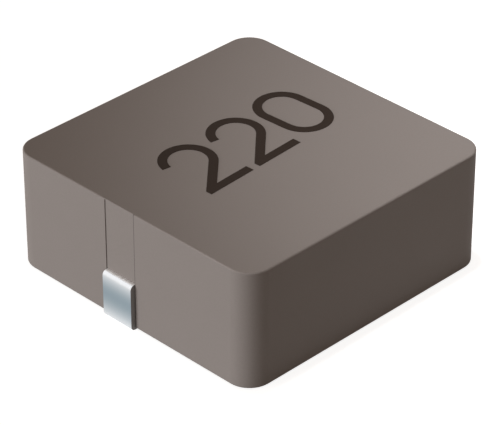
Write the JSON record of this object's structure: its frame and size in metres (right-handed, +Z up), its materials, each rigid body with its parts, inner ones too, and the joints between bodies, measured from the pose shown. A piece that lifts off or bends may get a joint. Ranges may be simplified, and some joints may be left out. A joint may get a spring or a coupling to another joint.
{
  "type": "shielded SMD inductor",
  "caption": "Low square moulded power inductor for surface mounting: a flat-wire coil pressed in a rounded block, with narrow tinned terminals folded under opposite sides.",
  "frame": {"origin": "on the board plane, under the middle of the block: z = 0 is the underside of both solder feet", "axes": "+Z up off the board, +X from the left terminal to the right terminal, +Y towards the tops of the marking's figures"},
  "size_m": [0.0104, 0.01, 0.004],
  "materials": {
    "pressed_powder": "matt, finely grained warm grey of pressed iron powder and resin",
    "enamelled_copper": "clear glossy enamel over copper",
    "tin_plate": "bright satin tin plate over copper",
    "marking_ink": "matt dark brown print on the block's top"
  },
  "bodies": {
    "root": {"moulded_body": "pressed_powder", "winding": "enamelled_copper", "left_terminal": "tin_plate", "right_terminal": "tin_plate"}
  },
  "joints": []
}
